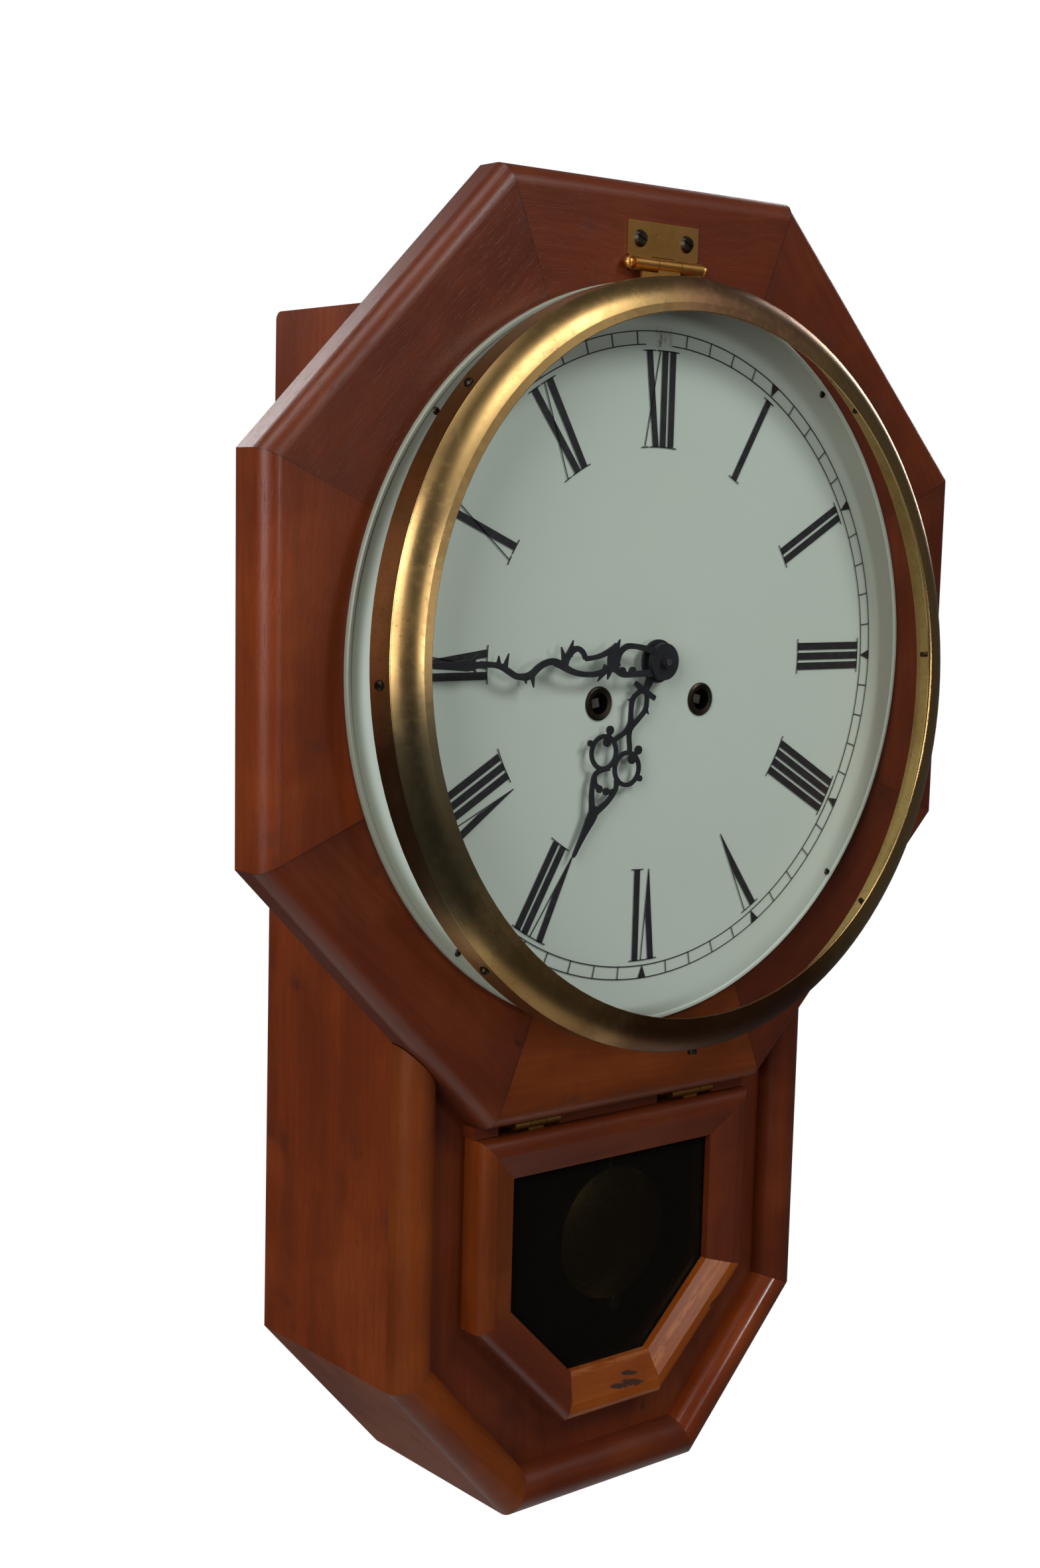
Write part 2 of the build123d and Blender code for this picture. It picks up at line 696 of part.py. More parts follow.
def stroke(points):
    """Flat curved bar whose half width is the third number of each point."""
    curve = smooth(points)
    left = []
    right = []
    for k, (a, b, w) in enumerate(curve):
        before = curve[max(k - 1, 0)]
        after = curve[min(k + 1, len(curve) - 1)]
        length = math.hypot(after[0] - before[0], after[1] - before[1])
        na = -(after[1] - before[1]) / length
        nb = (after[0] - before[0]) / length
        left.append((a + na * w, b + nb * w))
        right.append((a - na * w, b - nb * w))
    return filled(left + right[::-1])


def spike(a, b, tip_a, tip_b, width):
    """Thorn with a rounded-in base, from its root to its point."""
    length = math.hypot(tip_a - a, tip_b - b)
    na = -(tip_b - b) / length * width
    nb = (tip_a - a) / length * width
    return filled([(a + na, b + nb), (tip_a, tip_b), (a - na, b - nb)])


def spot(a, b, radius):
    """Round ball of a hand."""
    return Pos(a, b) * Circle(radius)


def hoop(a, b, outer, inner):
    """Flat ring of a hand."""
    return spot(a, b, outer) - spot(a, b, inner)


def hand_solid(faces, degrees, y0, y1):
    """Fuse the faces of one hand and point it at a clock angle."""
    flat = faces[0]
    for face in faces[1:]:
        flat = flat + face
    body = extrude(facing(y1) * flat, amount=y1 - y0)
    return Rot(0, degrees - 90, 0) * body


minute_faces = [
    spot(0, 0, 8.8),
    stroke([
        (6, -5, 1.6), (12.5, -6.4, 1.4), (17.5, -7.2, 1.3), (23, -7.3, 1.4), (27, -5, 1.5),
        (29, -1.5, 1.8), (30, 2, 2.2),
    ]),
    stroke([(6, 5.0, 2.0), (13, 5.4, 1.5), (19, 5.6, 1.4), (25, 5.6, 1.4), (29, 3.5, 1.6)]),
    spot(19.3, 4.2, 2.1),
    spot(25.6, 4.2, 2.1),
    stroke([(28.5, 3, 2.4), (31, 0.5, 3.4), (31.5, -3, 3.0), (30.0, -6.5, 2.0)]),
    spike(32.5, 1.0, 34.5, 7.8, 2.4),
    spike(35.0, 2.0, 40.5, 8.6, 2.2),
    spike(30.5, -4.5, 27.6, -10.6, 2.2),
    stroke([
        (31, 0.5, 2.2), (36, 3.6, 1.5), (42.5, 5.2, 1.3), (49.5, 5.1, 1.3), (56, 3.8, 1.4),
        (62.5, 1.0, 1.7), (66, -0.4, 1.8),
    ]),
    stroke([(29.5, -8.0, 1.3), (32.5, -5.8, 1.5), (38.5, -3.4, 1.2), (43.5, -2.3, 1.1), (48.3, -1.9, 1.2)]),
    stroke([
        (48.3, -2.0, 1.2), (50.2, -5.0, 1.2), (53.5, -6.5, 1.3), (57.0, -5.2, 1.7),
        (59.5, -2.0, 1.7), (60.5, 1.4, 1.5),
    ]),
    spike(58.2, -3.4, 56.0, -10.4, 2.0),
    spike(60.8, -1.5, 63.0, -7.4, 1.6),
    stroke([
        (62.5, 0.8, 1.9), (67.5, -0.8, 1.6), (72.5, 0.0, 1.5), (76.5, 2.1, 1.6),
        (79.5, 4.4, 1.7), (83, 5.7, 1.7), (88.5, 5.4, 1.4), (92.5, 3.5, 1.4),
        (97.5, 1.0, 1.4), (103, 0.1, 1.3), (109, 0, 1.6),
    ]),
    spike(79.6, 4.0, 78.4, 10.6, 1.6),
    spike(83.6, 5.0, 82.8, 8.9, 1.4),
    spike(95.4, 2.0, 93.2, -4.8, 1.5),
    spike(98.8, 0.8, 98.8, -3.8, 1.4),
    stroke([
        (106, 0.1, 1.2), (111, 0.2, 1.6), (116, 0.4, 2.5), (124, 0.4, 1.9),
        (135, 0.3, 1.3), (146.5, 0.2, 0.3),
    ]),
    spike(114.0, -0.6, 110.5, -4.8, 1.4),
    spike(114.0, 1.0, 111.0, 3.6, 1.2),
]
minute_hand = hand_solid(minute_faces, minute_deg, -8.7, -7.7)
minute_hand = minute_hand + disc(0, 0, 8.6, -9.8, -8.6)
minute_hand = minute_hand - disc(0, 0, 1.6, -20, 5)
save("minute_hand", minute_hand)

hour_faces = [
    spot(0, 0, 10.2),
    filled([(7, 2.6), (17, 1.4), (17, -1.4), (7, -2.6)]),
    stroke([(15.3, -7.6, 1.2), (15.8, 0, 1.4), (15.9, 7.4, 1.2)]),
    stroke([
        (14.5, 0.4, 1.3), (18.5, 3.0, 1.1), (23.0, 4.6, 1.2), (28.5, 3.0, 1.2),
        (34.5, 0.6, 1.5), (38.5, 1.8, 1.2), (42.2, 4.4, 1.2), (45.2, 6.0, 1.2),
    ]),
    stroke([
        (14.5, -0.4, 1.3), (18.5, -3.6, 1.1), (23.0, -5.0, 1.3), (28.5, -2.8, 1.2),
        (33.0, -0.6, 1.5), (38.0, -1.6, 1.2), (42.0, -4.4, 1.2), (45.0, -6.0, 1.2),
    ]),
    spike(22.5, 3.8, 24.2, 7.6, 1.4),
    spike(22.5, -4.2, 24.4, -8.0, 1.4),
    hoop(52.2, 8.3, 8.6, 6.5),
    hoop(51.8, -8.5, 8.6, 6.5),
    spot(41.4, 10.4, 2.1),
    spot(47.0, 8.9, 2.2),
    stroke([(41.4, 10.4, 1.5), (44.2, 9.6, 1.1), (47.0, 8.9, 1.6)]),
    spot(52.6, 17.9, 1.5),
    spot(41.2, -10.3, 2.1),
    spot(46.8, -9.2, 2.2),
    stroke([(41.2, -10.3, 1.5), (44.0, -9.7, 1.1), (46.8, -9.2, 1.6)]),
    spot(51.8, -18.2, 1.5),
    stroke([(59.4, 5.0, 1.2), (63.5, 6.8, 1.2), (70.5, 5.2, 1.3), (78.5, 1.0, 1.6), (84, 0, 1.4)]),
    stroke([
        (56.5, -1.6, 1.2), (60.0, -6.2, 1.2), (64.0, -8.2, 1.2), (71.0, -5.8, 1.3),
        (78.5, -1.4, 1.6), (84, 0, 1.4),
    ]),
    stroke([(63.8, 6.6, 1.0), (66.0, 4.4, 1.0), (66.8, 2.0, 1.6)]),
    stroke([(64.2, -7.8, 1.0), (66.8, -5.4, 1.0), (67.6, -2.5, 1.6)]),
    spot(66.9, 2.0, 1.8),
    spot(67.7, -2.4, 1.8),
    filled([
        (75.5, 0.8), (78, 2.4), (80, 2.8), (83, 2.5), (86, 1.9), (90, 1.2), (95, 0.6),
        (100, 0.2), (101.5, -0.2), (102, -0.8), (101.5, -1.4), (100, -1.7), (95, -1.9),
        (90, -2.1), (86, -2.4), (83, -2.7), (80, -2.8), (78, -2.4), (75.5, -0.8),
    ]),
]
hour_hand = hand_solid(hour_faces, hour_deg, -5.0, -4.0)
hour_hand = hour_hand - disc(0, 0, 3.1, -20, 5)
save("hour_hand", hour_hand)

hand_nut = disc(0, 0, 2.9, -12.0, -9.8) + disc(0, 0, 2.0, -12.4, -12.0)
hand_nut = hand_nut - disc(0, 0, 1.6, -20, 5)
save("hand_nut", hand_nut)

# Pendulum
swing = Pos(0, 0, pivot_z) * Rot(0, -pendulum_deg, 0) * Pos(0, 0, -pivot_z)
rod_y0 = pendulum_y - 1.2
rod_y1 = pendulum_y + 1.2
rod = disc(0, pivot_z, 3.2, rod_y0, rod_y1)
rod = rod + slab([(-1.2, 12.0), (1.2, 12.0), (1.2, pivot_z - 2), (-1.2, pivot_z - 2)], rod_y0, rod_y1)
rod = rod + disc(0, 0, 12.6, rod_y0, rod_y1)
rod = rod - disc(0, 0, 10.2, rod_y0 - 1, rod_y1 + 1)
rod = rod + slab([(-1.2, -240.0), (1.2, -240.0), (1.2, -11.5), (-1.2, -11.5)], rod_y0, rod_y1)
wire_top = -238.0
wire_foot = bob_z - 42.0
rod = rod + Pos(0, pendulum_y, (wire_top + wire_foot) / 2) * Cylinder(1.1, wire_top - wire_foot)
rod = rod - disc(0, pivot_z, 1.05, rod_y0 - 1, rod_y1 + 1)
bob = revolve(outline([
    ((0, -4.6), (20.0, -3.9), (bob_radius, -0.9)),
    ((bob_radius, -0.9), (bob_radius, 0.9)),
    ((bob_radius, 0.9), (20.0, 3.9), (0, 4.6)),
    ((0, 4.6), (0, -4.6)),
]), Axis.Y, 360)
bob = Pos(0, pendulum_y, bob_z) * bob
bob = bob - Pos(0, pendulum_y, bob_z) * Cylinder(1.1, 100)
nut = Pos(0, pendulum_y, bob_z - 37.0) * Cylinder(4.0, 4.4)
rod = rod + nut
save("pendulum_rod", swing * rod)
save("pendulum_bob", swing * bob)

# Gong and hammer
coil_left = []
coil_right = []
turns = 3.25
for k in range(131):
    share = k / 130
    angle = 2 * math.pi * turns * share
    radius = 13.0 + 24.0 * share
    coil_left.append(((radius + 1.2) * math.cos(angle), gong_z + (radius + 1.2) * math.sin(angle)))
    coil_right.append(((radius - 1.2) * math.cos(angle), gong_z + (radius - 1.2) * math.sin(angle)))
gong = slab(coil_left + coil_right[::-1], 96.0, 98.4)
gong = gong + slab([(-8, gong_z - 7), (14.5, gong_z - 7), (14.5, gong_z + 7), (-8, gong_z + 7)], 98.4, 104.0)
gong = gong + disc(0, gong_z, 6.0, 104.0, back_board_y0)
save("gong", gong)

hammer = disc(hammer_x, hammer_z, 3.2, 96.0, 100.0)
hammer = hammer + block(hammer_x - 1, hammer_x + 1, 96.2, 98.2, gong_z, hammer_z - 2)
hammer = hammer + bar_x(97.2, gong_z, 4.5, hammer_x - 4, hammer_x + 4.8)
hammer = hammer - disc(hammer_x, hammer_z, 1.55, 90, 110)
save("hammer", hammer)
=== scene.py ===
import math
import bpy
import numpy as np
from mathutils import Matrix, Vector


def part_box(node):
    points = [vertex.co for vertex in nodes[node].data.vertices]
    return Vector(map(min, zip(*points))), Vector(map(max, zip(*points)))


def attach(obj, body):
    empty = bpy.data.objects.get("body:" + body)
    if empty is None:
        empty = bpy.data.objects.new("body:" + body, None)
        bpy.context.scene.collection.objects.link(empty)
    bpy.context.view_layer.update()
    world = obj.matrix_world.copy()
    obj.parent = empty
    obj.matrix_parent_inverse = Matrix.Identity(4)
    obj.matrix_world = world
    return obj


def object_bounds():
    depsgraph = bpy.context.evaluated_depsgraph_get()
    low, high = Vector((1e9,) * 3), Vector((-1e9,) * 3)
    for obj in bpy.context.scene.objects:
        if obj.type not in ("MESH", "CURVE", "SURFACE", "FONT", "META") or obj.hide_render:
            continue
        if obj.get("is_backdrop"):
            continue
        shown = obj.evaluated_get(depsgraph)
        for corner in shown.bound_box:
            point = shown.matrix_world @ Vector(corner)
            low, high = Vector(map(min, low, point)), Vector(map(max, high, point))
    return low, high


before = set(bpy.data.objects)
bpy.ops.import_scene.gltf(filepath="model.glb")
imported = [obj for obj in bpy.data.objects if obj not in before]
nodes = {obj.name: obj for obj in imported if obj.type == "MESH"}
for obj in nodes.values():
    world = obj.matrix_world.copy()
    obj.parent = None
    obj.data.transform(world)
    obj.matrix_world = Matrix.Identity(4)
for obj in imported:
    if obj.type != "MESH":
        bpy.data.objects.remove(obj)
lowCad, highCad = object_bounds()
print("loaded", len(nodes), "nodes of the clock")

mm = 0.001
dialLow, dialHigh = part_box("dial_pan")
dialFace = dialLow.y
dialCentre = Vector(((dialLow.x + dialHigh.x) / 2, dialFace, (dialLow.z + dialHigh.z) / 2))


# a colour given as it looks on a screen, 0 to 255, turned into the linear one that shaders use
def paint(red, green, blue):
    return tuple((c / 255 / 12.92) if c <= 10 else ((c / 255 + 0.055) / 1.055) ** 2.4
                 for c in (red, green, blue)) + (1.0,)


# wraps an output socket, so that + - * / and the methods below add Math nodes
class Wire:
    def __init__(self, tree, socket):
        self.tree, self.socket = tree, socket

    def maths(self, operation, *others):
        return self.tree.add("ShaderNodeMath", {"operation": operation}, dict(enumerate((self,) + others)))

    def __add__(self, other):
        return self.maths("ADD", other)

    def __radd__(self, other):
        return self.maths("ADD", other)

    def __sub__(self, other):
        return self.maths("SUBTRACT", other)

    def __rsub__(self, other):
        return self.tree.add("ShaderNodeMath", {"operation": "SUBTRACT"}, {0: other, 1: self})

    def __mul__(self, other):
        return self.maths("MULTIPLY", other)

    def __rmul__(self, other):
        return self.maths("MULTIPLY", other)

    def __truediv__(self, other):
        return self.maths("DIVIDE", other)

    def __pow__(self, other):
        return self.maths("POWER", other)

    def __abs__(self):
        return self.maths("ABSOLUTE")

    # 0 at low, 1 at high, eased between and flat outside; low may be the larger of the two
    def step(self, low, high):
        return self.tree.add("ShaderNodeMapRange", {"interpolation_type": "SMOOTHSTEP"},
                             {"Value": self, "From Min": low, "From Max": high})


# one material's node tree, with the calls that the finishes below are written in
class Finish:
    def __init__(self, name):
        self.material = bpy.data.materials.new(name)
        self.material.use_nodes = True
        self.nodes = self.material.node_tree.nodes
        self.links = self.material.node_tree.links
        self.shader = self.nodes["Principled BSDF"]
        self.place = self.add("ShaderNodeTexCoord", {}, {}, "Object")

    # any node: its settings first, then the values or links of its sockets
    def add(self, kind, settings, sockets, output=0):
        node = self.nodes.new(kind)
        for key, value in settings.items():
            setattr(node, key, value)
        for key, value in sockets.items():
            self.put(node.inputs[key], value)
        return Wire(self, node.outputs[output])

    def put(self, socket, value):
        if isinstance(value, Wire):
            self.links.new(value.socket, socket)
        else:
            socket.default_value = value

    def set(self, **values):
        for key, value in values.items():
            self.put(self.shader.inputs[key.replace("_", " ")], value)

    # object coordinates moved to centre and turned about Y, so that x runs along a rail and z away from it
    def along(self, centre, clock):
        turn = Matrix.Rotation(-math.radians(clock), 3, "Y")
        shift = -(turn @ Vector(centre))
        return self.add("ShaderNodeMapping", {}, {"Vector": self.place, "Location": shift,
                                                  "Rotation": (0, -math.radians(clock), 0)})

    def stretch(self, vector, scale, shift=(0, 0, 0)):
        return self.add("ShaderNodeMapping", {}, {"Vector": vector, "Scale": scale, "Location": shift})

    def noise(self, vector, scale=1.0, detail=3.0, rough=0.55, bend=0.0):
        return self.add("ShaderNodeTexNoise", {}, {"Vector": vector, "Scale": scale, "Detail": detail,
                                                   "Roughness": rough, "Distortion": bend})

    def cells(self, vector, scale, output="Distance"):
        return self.add("ShaderNodeTexVoronoi", {}, {"Vector": vector, "Scale": scale}, output)

    def split(self, vector):
        node = self.nodes.new("ShaderNodeSeparateXYZ")
        self.put(node.inputs[0], vector)
        return [Wire(self, node.outputs[i]) for i in range(3)]

    # the colour mixer's factor is socket 0, its two colours are 6 and 7 and its result is output 2
    def mix(self, factor, first, second):
        return self.add("ShaderNodeMix", {"data_type": "RGBA"}, {0: factor, 6: first, 7: second}, 2)

    def bump(self, height, distance, strength):
        return self.add("ShaderNodeBump", {}, {"Height": height, "Distance": distance, "Strength": strength})


# puts a finish on every material slot of a CAD node
def dress(name, finish):
    piece = nodes[name]
    if not piece.material_slots:
        piece.data.materials.append(finish.material)
    for slot in piece.material_slots:
        slot.material = finish.material


grainDict = {  # scales run along, through and across the grain; amounts say how strongly a layer shows
    "wander": (9, 9, 9), "wanderThrough": 0.012, "wanderAcross": 0.02, "seedShift": 0.37,
    "streak": (14, 420, 420), "streakAmount": 0.28,
    "figure": (3.5, 48, 48), "figureBend": 0.4,
    "pores": (90, 1900, 1900), "poreAmount": 0.22,
    "cloud": 15, "cloudSeed": 1.7, "cloudAmount": 0.75,
    "smudge": 38, "smudgeSeed": 0.9, "smudgeAmount": 0.45,
    "dot": 34, "dotSquash": (0.6, 1, 1), "dotAmount": 0.8,
    "glueLine": 0.0006, "glueAmount": 0.4, "glueShade": 0.010, "glueShadeAmount": 0.1,
    "tear": (60, 260, 260), "tearEdge": 0.0015, "tearGloss": 0.2,
    "ragged": (260, 260, 900), "raggedness": 3.2, "stainAmount": 0.92, "stainGloss": 0.15,
    "bump": 0.00012, "bumpStrength": 0.6,
}


# wood: colour = dark to middle with the figure, to light with the clouds, back to dark with the streaks and
# to deep with pores, smudges and dots; streak, figure and pores are noise stretched along x on a grain that
# wanders; roughness = gloss + streak + smudge; height = streak - pores - dots
def woodFinish(name, wood, grain):
    f = Finish(name)
    seed = wood["seed"]
    local = f.along(wood["centre"], wood["clock"])
    x, y, z = f.split(local)
    wander = f.noise(f.stretch(local, grain["wander"], (seed, 0, 0)), detail=2)
    bent = f.add("ShaderNodeCombineXYZ", {}, {0: x + seed * grain["seedShift"],
                                             1: y + wander * grain["wanderThrough"],
                                             2: z + wander * grain["wanderAcross"]})
    streak = f.noise(f.stretch(bent, grain["streak"]), detail=5, rough=0.62)
    figure = f.noise(f.stretch(bent, grain["figure"]), detail=3, rough=0.5, bend=grain["figureBend"])
    pores = f.noise(f.stretch(bent, grain["pores"]), detail=2, rough=0.6)
    cloud = f.noise(f.stretch(local, (1, 1, 1), (seed * grain["cloudSeed"], 0, 0)), scale=grain["cloud"],
                    detail=4)
    smudge = f.noise(f.stretch(local, (1, 1, 1), (0, seed * grain["smudgeSeed"], 0)), scale=grain["smudge"],
                     detail=3)

    colour = f.mix(figure.step(0.34, 0.66), wood["dark"], wood["middle"])
    colour = f.mix(cloud.step(0.42, 0.72) * grain["cloudAmount"], colour, wood["light"])
    colour = f.mix(streak.step(0.62, 0.38) * grain["streakAmount"], colour, wood["dark"])
    colour = f.mix(pores.step(0.60, 0.72) * grain["poreAmount"], colour, wood["deep"])
    colour = f.mix(smudge.step(0.60, 0.80) * grain["smudgeAmount"], colour, wood["deep"])
    gloss = wood.get("gloss", 0.31) + streak * 0.10 + smudge.step(0.55, 0.8) * 0.10

    # pin knots and dents: small cells, only where the cell's own random number is high
    dotNoise = f.stretch(local, grain["dotSquash"], (seed, seed, 0))
    chance = f.split(f.cells(dotNoise, grain["dot"], "Color"))[0]
    dots = f.cells(dotNoise, grain["dot"]).step(0.10, 0.03) * chance.step(0.86, 0.88)
    colour = f.mix(dots * grain["dotAmount"], colour, wood["deep"])

    # the glue line of a mitre and the shade beside it: the distance to a line through (x, z) corners
    worldX, worldY, worldZ = f.split(f.place)
    for (ax, az), (bx, bz) in wood.get("mitres", []):
        long = math.hypot(bx - ax, bz - az)
        nx, nz = (bz - az) / long, (ax - bx) / long
        away = abs(worldX * nx + worldZ * nz - (ax * nx + az * nz))
        line = away.step(grain["glueLine"], grain["glueLine"] / 3)
        colour = f.mix(line * grain["glueAmount"], colour, wood["deep"])
        colour = f.mix(away.step(grain["glueShade"], 0.0) * grain["glueShadeAmount"], colour, wood["deep"])

    # finish rubbed off: bare wood between two distances from the centre, torn up by noise
    for low, high, bare, amount in wood.get("rubbed", []):
        edge = grain["tearEdge"]
        tear = f.noise(f.stretch(local, grain["tear"]), detail=5, rough=0.7)
        inside = z.step(low - edge, low + edge) * z.step(high + edge, high - edge)
        bald = inside * tear.step(0.42, 0.54) * amount
        colour = f.mix(bald, colour, bare)
        gloss = gloss + bald * grain["tearGloss"]

    # dark stains: ellipses at (x, z) with half length, half height and lean, their rims torn up by noise
    for px, pz, rx, rz, lean in wood.get("stains", []):
        dx = x - px
        dz = z - pz - dx * lean
        ragged = f.noise(f.stretch(local, grain["ragged"]), detail=5, rough=0.7)
        away = (dx * dx) / rx ** 2 + (dz * dz) / rz ** 2 + (ragged - 0.5) * grain["raggedness"]
        spot = away.step(1.05, 0.75)
        colour = f.mix(spot * grain["stainAmount"], colour, wood["deep"])
        gloss = gloss + spot * grain["stainGloss"]

    height = streak * 0.6 - pores.step(0.58, 0.72) * 0.5 - dots * 2.0
    f.set(Base_Color=colour, Roughness=gloss, Specular_IOR_Level=wood.get("shine", 0.4),
          Coat_Weight=wood.get("coat", 0.04), Coat_Roughness=0.1,
          Normal=f.bump(height, grain["bump"], grain["bumpStrength"]))
    return f


woodTones = {  # the same wood, as each board took the stain; deep is for pores, dents and stains
    "red": {"dark": paint(102, 40, 12), "middle": paint(125, 51, 15), "light": paint(140, 64, 22),
            "deep": paint(42, 18, 8)},
    "brown": {"dark": paint(84, 32, 12), "middle": paint(101, 41, 15), "light": paint(114, 52, 21),
              "deep": paint(38, 17, 9)},
    "orange": {"dark": paint(100, 41, 10), "middle": paint(119, 53, 13), "light": paint(134, 66, 19),
               "deep": paint(46, 20, 8)},
    "honey": {"dark": paint(124, 56, 9), "middle": paint(146, 70, 11), "light": paint(164, 86, 20),
              "deep": paint(46, 24, 12)},
    "shade": {"dark": paint(84, 32, 12), "middle": paint(102, 42, 16), "light": paint(114, 52, 22),
              "deep": paint(34, 16, 8)},
}

headDict = {  # corners (mm from the dial's centre) from the top right, anticlockwise; rails in that order
    "corners": [(87.4, 219.8), (-90.9, 218.0), (-214.8, 90.3), (-213.4, -85.2), (-86.5, -215.0),
                (87.5, -215.0), (215.0, -87.0), (215.3, 92.2)],
    "railWidth": 101, "halfWidth": 215,
    "rails": [("head_top", 0, "brown"), ("head_upper_left", 315, "brown"), ("head_left", 270, "red"),
              ("head_lower_left", 225, "brown"), ("head_bottom", 180, "orange"),
              ("head_lower_right", 135, "brown"), ("head_right", 90, "shade"),
              ("head_upper_right", 45, "shade")],
}


# a mitre's line, as its outer and inner ends in x and z
def headMitre(corner):
    x, z = headDict["corners"][corner % len(headDict["corners"])]
    keep = 1 - headDict["railWidth"] / headDict["halfWidth"]
    return ((x * mm, dialCentre.z + z * mm), (x * keep * mm, dialCentre.z + z * keep * mm))


for count, (name, clock, tone) in enumerate(headDict["rails"]):
    wood = dict(woodTones[tone], centre=dialCentre, clock=clock, seed=3.1 + count,
                mitres=[headMitre(count), headMitre(count + 1)])
    dress(name, woodFinish(name + "_wood", wood, grainDict))

straightBoards = {  # each board's clock angle, which turns its grain from +X, and its tone
    "case_side_left": (90, "red"), "case_side_right": (90, "red"), "case_top": (0, "brown"),
    "case_bottom": (0, "brown"), "case_panel_left": (135, "orange"), "case_panel_right": (45, "brown"),
    "back_board": (90, "brown"), "front_panel": (90, "brown"), "header_strip": (0, "shade"),
    "mould_left": (90, "orange"), "mould_right": (90, "shade"), "mould_bottom": (0, "brown"),
    "mould_lower_left": (225, "orange"), "mould_lower_right": (135, "red"),
    "door_rail_top": (0, "brown"), "door_rail_left": (270, "orange"), "door_rail_right": (90, "shade"),
    "door_rail_lower_left": (225, "shade"), "door_rail_lower_right": (135, "honey"),
    "door_rail_bottom": (180, "honey"),
}
wornDict = {  # what differs on a board: bare bands (low, high, colour, amount) across it, stains (x, z, half
              # length, half height, lean) on it, its roughness, coat and reflectance
    "door_rail_bottom": {
        "stains": [(-0.0035, 0.0010, 0.0065, 0.0013, -0.12), (-0.0125, 0.0012, 0.0075, 0.0016, -0.20),
                   (-0.0105, -0.0035, 0.0055, 0.0011, -0.15)],
        "rubbed": [(-0.0125, -0.0095, paint(176, 104, 56), 0.45)]},
    "door_rail_lower_right": {
        "stains": [(0.003, 0.0032, 0.011, 0.0011, 0.04), (-0.015, 0.0012, 0.006, 0.0012, -0.3),
                   (-0.0165, 0.0050, 0.005, 0.0010, 0.2), (0.012, 0.0058, 0.006, 0.0008, 0.0)],
        "rubbed": [(-0.0125, -0.0080, paint(190, 122, 76), 0.55)]},
    "case_panel_left": {"gloss": 0.45, "shine": 0.12},
    "mould_lower_left": {"gloss": 0.4, "shine": 0.2},
    "mould_lower_right": {"gloss": 0.14, "coat": 0.5},
    "mould_right": {"gloss": 0.24, "coat": 0.1},
    "mould_bottom": {"gloss": 0.34, "shine": 0.25},
}
for count, (name, (clock, tone)) in enumerate(straightBoards.items()):
    low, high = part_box(name)
    wood = dict(woodTones[tone], centre=(low + high) / 2, clock=clock, seed=21.3 + count,
                **wornDict.get(name, {}))
    dress(name, woodFinish(name + "_wood", wood, grainDict))
print("wood finished")


tarnishAndReflectionDict = {
    "cloud": 22, "fine": 260, "fineAmount": 0.35,
    "speck": 420, "speckPlace": 60, "speckAmount": 0.7, "speckDepth": -1.5,
    "patchWander": 0.05, "patchFray": 0.012, "patchCore": 0.45,
    "filmGloss": 0.16, "fineGloss": 0.08, "patchGloss": 0.12,
    "bump": 0.00002, "bumpStrength": 0.15,
}


# brass: colour = clean to aged by cloudy noise times film, to dark by fine noise, to a patch's tone near the
# patch's centre (tarnish, and on the bezel's lower left and bottom painted reflection), and to dark in
# specks; roughness = gloss + film + fine noise + patch
def brassFinish(name, brass, tarnishAndReflection):
    f = Finish(name)
    cloud = f.noise(f.place, scale=tarnishAndReflection["cloud"], detail=5, rough=0.6)
    fine = f.noise(f.place, scale=tarnishAndReflection["fine"], detail=4, rough=0.65)
    speckPlace = f.noise(f.place, scale=tarnishAndReflection["speckPlace"])
    speck = f.cells(f.place, tarnishAndReflection["speck"]).step(0.22, 0.08) * speckPlace.step(0.52, 0.66)
    film = cloud.step(0.40, 0.75) * brass["film"]
    colour = f.mix(film, brass["clean"], brass["aged"])
    colour = f.mix(fine.step(0.5, 0.75) * tarnishAndReflection["fineAmount"] * brass["film"], colour, brass["dark"])
    gloss = brass["gloss"] + film * tarnishAndReflection["filmGloss"] + fine.step(0.45, 0.8) * tarnishAndReflection["fineGloss"]
    for centre, radius, tone, amount in brass.get("patches", []):
        away = f.add("ShaderNodeVectorMath", {"operation": "DISTANCE"}, {0: f.place, 1: centre}, "Value")
        frayed = away + (cloud - 0.5) * tarnishAndReflection["patchWander"] + (fine - 0.5) * tarnishAndReflection["patchFray"]
        # a patch's mask: tarnish at the top, painted reflection on the bezel's lower left and bottom
        stain = frayed.step(radius, radius * tarnishAndReflection["patchCore"]) * amount
        colour = f.mix(stain, colour, tone)
        gloss = gloss + stain * tarnishAndReflection["patchGloss"]
    colour = f.mix(speck * tarnishAndReflection["speckAmount"], colour, brass["dark"])
    f.set(Base_Color=colour, Metallic=1.0, Roughness=gloss,
          Normal=f.bump(fine + speck * tarnishAndReflection["speckDepth"], tarnishAndReflection["bump"], tarnishAndReflection["bumpStrength"]))
    return f


